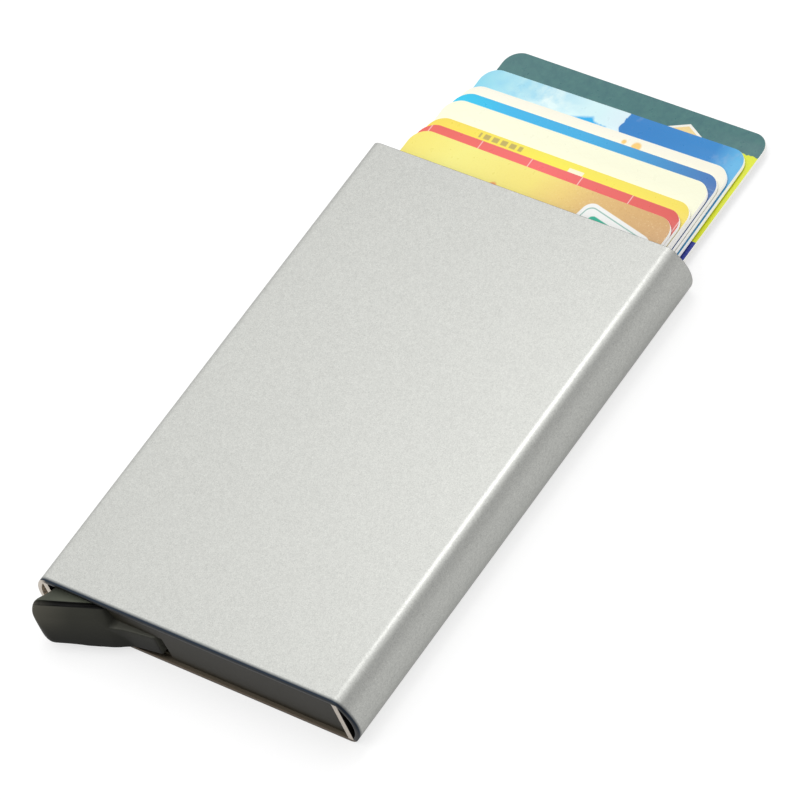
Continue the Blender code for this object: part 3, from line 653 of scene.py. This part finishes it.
def print_sky(paint, x, y):
    """Soft pale clouds on the left, with a ragged edge against deep blue on the right."""
    place = paint.place()
    drift = (paint.noise(place, 9.0, 3.0, 0.5, 1.5) - 0.5) * 9.0
    ragged = (paint.noise(place, 2.4, 4.0, 0.6, 5.0) - 0.5) * 2.6
    shades = [
        (0.00, (0.22, 0.68, 0.85)), (0.14, (0.50, 0.83, 0.90)), (0.26, (0.80, 0.97, 0.97)),
        (0.44, (0.68, 0.93, 0.96)), (0.56, (0.74, 0.90, 0.96)),
    ]
    pale = paint.node("ShaderNodeValToRGB", {0: paint.between(x + drift, -27.0, 27.0)}, stops=shades)
    shades = [(0.0, (0.012, 0.21, 0.58)), (0.8, (0.016, 0.24, 0.62)), (1.0, (0.11, 0.48, 0.82))]
    deep = paint.node("ShaderNodeValToRGB", {0: paint.between(x, 2.0, 25.5)}, stops=shades)
    streak = paint.noise(place, 3.6, 3.0, 0.6, 9.0)
    deep = paint.blend(paint.between(streak, 0.60, 0.78) * 0.4, deep, colour(176, 190, 220))
    tinted = paint.between(paint.noise(place, 3.4, 3.0, 0.55, 3.0), 0.40, 0.60, 0.7, 0.0)
    pale = paint.blend(tinted * paint.under(x, -8.0, 4.0), pale, colour(146, 214, 240))
    pool = paint.calculate("ABSOLUTE", x + 3.4 + ragged) * 0.30
    pool = pool + paint.calculate("ABSOLUTE", y + 4.9 + ragged * 0.6)
    pale = paint.blend(paint.between(pool, 2.1, 1.5), pale, colour(16, 176, 238))
    return paint.blend(paint.under(x + ragged + drift * 0.15, 2.6, 0.12), deep, pale)


def print_cream(paint, x, y):
    """Cream, with a pair of small soft orange spots."""
    base = paint.blend(paint.noise(paint.place(), 8.0), colour(252, 247, 226), colour(254, 252, 238))
    wide = disc(paint, x, y, 8.4, -1.7, 0.9, 0.2)
    small = disc(paint, x, y, 5.8, -1.5, 0.45, 0.15)
    return paint.blend(wide + small, base, colour(252, 208, 120))


def print_blue(paint, x, y):
    """Bright blue that darkens from left to right, with a band of fine lines."""
    shades = [
        (0.00, (0.00, 0.60, 0.88)), (0.20, (0.025, 0.48, 0.84)), (0.50, (0.036, 0.42, 0.77)),
        (0.72, (0.041, 0.32, 0.66)), (1.00, (0.050, 0.17, 0.48)),
    ]
    base = paint.node("ShaderNodeValToRGB", {0: paint.between(x, -27.0, 27.0)}, stops=shades)
    fine = stripes(paint, y + x * 0.08, 0.7, 0.12) * paint.under(y, -2.5)
    return paint.blend(fine * 0.3, base, colour(150, 200, 235))


def print_ivory(paint, x, y):
    """Ivory, with barely seen guilloche lines."""
    swing = paint.calculate("SINE", x * 0.55) * 1.2
    lines = stripes(paint, y + swing, 1.6, 0.14)
    back = stripes(paint, y - swing, 1.6, 0.14)
    return paint.blend((lines + back) * 0.05, colour(255, 255, 226), colour(232, 220, 170))


def print_yellow(paint, x, y):
    """Warm yellow, brighter in the middle, with small brown squares and a white bar."""
    shades = [(0.0, (0.96, 0.74, 0.08)), (0.45, (0.97, 0.87, 0.08)), (1.0, (0.96, 0.77, 0.11))]
    base = paint.node("ShaderNodeValToRGB", {0: paint.between(x, -27.0, 27.0)}, stops=shades)
    cell_x = paint.calculate("PINGPONG", x + 20.0, 0.9)
    cell_y = paint.calculate("PINGPONG", y + 0.3, 0.7)
    square = panel(paint, cell_x, cell_y, 0.9, 0.7, 0.62, 0.5, 0.1)
    block = panel(paint, x, y, -12.6, -1.7, 4.5, 1.4, 0.1)
    base = paint.blend(square * block * 0.8, base, colour(176, 156, 96))
    bar = panel(paint, x, y, 3.4, -1.7, 1.5, 0.55, 0.05)
    return paint.blend(bar, base, colour(255, 251, 236))


def print_red(paint, x, y):
    """Coral red, ruled across with thin white lines."""
    shades = [(0.0, (0.84, 0.12, 0.09)), (0.45, (0.94, 0.15, 0.15)), (1.0, (0.76, 0.11, 0.09))]
    across = paint.between(x + paint.noise(paint.place(), 4.0) * 4.0, -25.0, 29.0)
    base = paint.node("ShaderNodeValToRGB", {0: across}, stops=shades)
    rule = stripes(paint, x + 4.6, 10.4, 0.16)
    return paint.blend(rule * 0.7, base, colour(255, 236, 232))


def print_gold(paint, x, y):
    """Gold flake from pale yellow to tan, with a white-rimmed teal tab under the mouth."""
    place = paint.place()
    across = paint.between(x - y * 0.2 + paint.noise(place, 6.0) * 4.0, -24.0, 28.0)
    shades = [
        (0.00, (0.97, 0.83, 0.16)), (0.18, (0.97, 0.90, 0.24)), (0.48, (0.97, 0.82, 0.20)),
        (0.60, (0.93, 0.68, 0.20)), (0.72, (0.81, 0.52, 0.19)), (1.00, (0.70, 0.41, 0.17)),
    ]
    base = paint.node("ShaderNodeValToRGB", {0: across}, stops=shades)
    flake = paint.noise(place, 0.3, 2.0, 0.7)
    tan_side = paint.between(x, -2.0, 12.0, 0.3, 1.0)
    base = paint.blend(paint.between(flake, 0.58, 0.74) * tan_side * 0.5, base, colour(255, 240, 190))
    base = paint.blend(paint.between(flake, 0.42, 0.26) * tan_side * 0.3, base, colour(176, 124, 66))
    off_x = x - 16.8
    off_y = y + 8.6
    turned_x = off_x * 0.978 - off_y * 0.208
    turned_y = off_y * 0.978 + off_x * 0.208
    rim = panel(paint, turned_x, turned_y, 0.0, 0.0, 7.6, 5.4, 1.8)
    line = panel(paint, turned_x, turned_y, 0.0, 0.0, 6.9, 4.7, 1.4)
    inside = panel(paint, turned_x, turned_y, 0.0, 0.0, 6.7, 4.5, 1.3)
    tab = panel(paint, turned_x, turned_y, -2.6, 1.2, 2.6, 2.2, 0.9)
    base = paint.blend(rim, base, colour(252, 253, 250))
    base = paint.blend(line * (1 - inside), base, colour(140, 190, 176))
    base = paint.blend(tab, base, colour(30, 184, 152))
    dab = disc(paint, x, y, -7.4, -5.6, 0.7, 0.2) + disc(paint, x, y, -3.6, -6.4, 0.5, 0.2)
    return paint.blend(dab * 0.8, base, colour(236, 120, 70))


def print_back(paint, x, y):
    """A pale back with a dark magnetic stripe along it and a signature panel."""
    base = paint.blend(paint.noise(paint.place(), 9.0), colour(206, 208, 208), colour(220, 221, 221))
    base = paint.blend(panel(paint, x, y, -15.0, -42.8, 6.3, 60.0, 0.1), base, colour(34, 30, 28))
    lines = stripes(paint, x + y, 1.2, 0.3)
    signature = panel(paint, x, y, 1.5, -36.0, 4.5, 25.0, 0.3)
    lined = paint.blend(lines * 0.5, colour(246, 244, 236), colour(206, 204, 196))
    return paint.blend(signature, base, lined)


def printed_finish(name, design, far_edge, skew):
    """Printed film: the design, counted in millimetres from the middle of the far edge."""
    film = Finish(name, IOR=1.5)
    place = film.place()
    turned = {"Vector": place, "Location": far_edge / MM, "Rotation": Euler((0.0, 0.0, skew))}
    x, y, _ = film.axes(film.node("ShaderNodeMapping", turned, vector_type="TEXTURE"))
    film.set("Base Color", design(film, x, y))
    ripple = film.noise(place, 1.3, 2.0, 0.5)
    film.set("Roughness", 0.24 + ripple * 0.1)
    return film


DESIGNS = (
    print_green, print_sky, print_cream, print_blue,
    print_ivory, print_yellow, print_red, print_gold,
)
slots = [material["slot"] for material in frame["record"]["materials"]]
for number, (design, degrees) in enumerate(zip(DESIGNS, CARD_TURNS), start=1):
    node = f"card_{number}"
    skew = math.radians(degrees)
    low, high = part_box(node)
    middle = Vector(((low.x + high.x) / 2, (low.y + high.y) / 2, low.z))
    far_edge = middle + Matrix.Rotation(skew, 3, "Z") @ Vector((0.0, CARD_LENGTH / 2, 0.0))
    face = printed_finish(f"{node} printed face", design, far_edge, skew)
    back = printed_finish(f"{node} printed back", print_back, far_edge, skew)
    sizes = {
        "Width": CARD_WIDTH, "Length": CARD_LENGTH, "Thickness": high.z - low.z,
        "Corner": CARD_CORNER, "Place": middle, "Skew": (0.0, 0.0, skew),
        "Face": face.material, "Back": back.material, "Core": core.material,
    }
    blank = bpy.data.meshes.new(node)
    card_mesh = grow(node, blank, card_tree.tree, sizes, after=[eased(CARD_EDGE)])
    slot = next(name for name in slots if name.startswith(f"card {number} "))
    keep(f"payment_card_{number}", card_mesh, node, slot, node)


# The holder lies on a plain pale table. The table's own glow shows it as white while
# the lamp stays low, and reflections get less of it, so that the sleeve keeps its grey.
TABLE_SIZE = 6.0
TABLE_GAP = 0.02 * MM
TABLE_GLOW = 0.68
REFLECTED_GLOW = 0.4
table_mesh = bpy.data.meshes.new("table top")
shape = bmesh.new()
bmesh.ops.create_grid(shape, x_segments=1, y_segments=1, size=TABLE_SIZE / 2)
bmesh.ops.translate(shape, verts=shape.verts, vec=(0.0, 0.0, -TABLE_GAP))
shape.to_mesh(table_mesh)
shape.free()
table = bpy.data.objects.new("table_top", table_mesh)
bpy.context.scene.collection.objects.link(table)

WHITE = (1.0, 1.0, 1.0, 1.0)
paint = Finish("white table", Base_Color=colour(170, 170, 170), Roughness=0.9)
rays = paint.node("ShaderNodeLightPath").socket.node.outputs
straight = Link(paint, rays["Is Camera Ray"]) + Link(paint, rays["Is Transmission Ray"])
reflected = Link(paint, rays["Is Glossy Ray"])
strength = (straight + reflected * REFLECTED_GLOW) * TABLE_GLOW
glow = paint.node("ShaderNodeEmission", {"Color": WHITE, "Strength": strength})
lit = paint.node("ShaderNodeAddShader", {0: Link(paint, paint.shader.outputs[0]), 1: glow})
paint.feed(paint.tree.nodes["Material Output"], "Surface", lit)
table_mesh.materials.append(paint.material)


# A white studio stands around the table. It is plain white where it is seen straight on,
# and it lights the holder with a soft gradient that is brightest on the window's side.
WINDOW_SIDE = Vector((-0.5, 0.2, 0.84)).normalized()
SHADE_LIGHT = 0.45
WINDOW_LIGHT = 1.04
world = bpy.data.worlds.new("white studio")
bpy.context.scene.world = world
world.use_nodes = True
sky = Graph(world.node_tree)
background = world.node_tree.nodes["Background"]
way = sky.node("ShaderNodeTexCoord", output="Generated")
facing = {0: way, 1: WINDOW_SIDE}
towards = sky.node("ShaderNodeVectorMath", facing, output="Value", operation="DOT_PRODUCT")
room = {"Value": towards, "From Min": -0.1, "From Max": 0.9}
room.update({"To Min": SHADE_LIGHT, "To Max": WINDOW_LIGHT})
daylight = sky.node("ShaderNodeMapRange", room, interpolation_type="SMOOTHSTEP")
rays = sky.node("ShaderNodeLightPath").socket.node.outputs
straight = Link(sky, rays["Is Camera Ray"]) + Link(sky, rays["Is Transmission Ray"])
sky.feed(background, "Color", WHITE)
sky.feed(background, "Strength", straight + (1 - straight) * daylight)


# One long softbox hangs overhead, past the mouth, and faces the holder. It draws the
# bright line along the sleeve's crease.
SOFTBOX_WAY = Vector((-0.05, 0.40, 0.92)).normalized()
SOFTBOX_DISTANCE = 1.4
SOFTBOX_WIDTH = 0.32
SOFTBOX_LENGTH = 1.0
SOFTBOX_POWER = 2.75
lamp = bpy.data.lights.new("overhead softbox", "AREA")
lamp.shape = "RECTANGLE"
lamp.size = SOFTBOX_WIDTH
lamp.size_y = SOFTBOX_LENGTH
lamp.energy = SOFTBOX_POWER
softbox = bpy.data.objects.new("overhead softbox", lamp)
softbox.location = SOFTBOX_WAY * SOFTBOX_DISTANCE
softbox.rotation_euler = (-SOFTBOX_WAY).to_track_quat("-Z", "Y").to_euler()
bpy.context.scene.collection.objects.link(softbox)


# The camera looks down on the near right corner through a long lens, rolled so that the
# holder points up to the right.
AIM = Vector((5.4, 5.1, 10.8)) * MM
CAMERA_AZIMUTH = math.radians(55.47)
CAMERA_ELEVATION = math.radians(48.07)
CAMERA_ROLL = math.radians(-26.03)
CAMERA_DISTANCE = 1049.2 * MM
LENS = 295.0
camera = bpy.data.objects.new("camera", bpy.data.cameras.new("camera"))
camera.data.lens = LENS
camera.data.clip_start = 0.01
turn = Matrix.Rotation(CAMERA_AZIMUTH, 3, "Z")
turn = turn @ Matrix.Rotation(math.pi / 2 - CAMERA_ELEVATION, 3, "X")
turn = turn @ Matrix.Rotation(CAMERA_ROLL, 3, "Z")
camera.rotation_euler = turn.to_euler()
camera.location = AIM + turn @ Vector((0.0, 0.0, CAMERA_DISTANCE))
bpy.context.scene.collection.objects.link(camera)
bpy.context.scene.camera = camera
bpy.context.scene.view_settings.view_transform = "Standard"
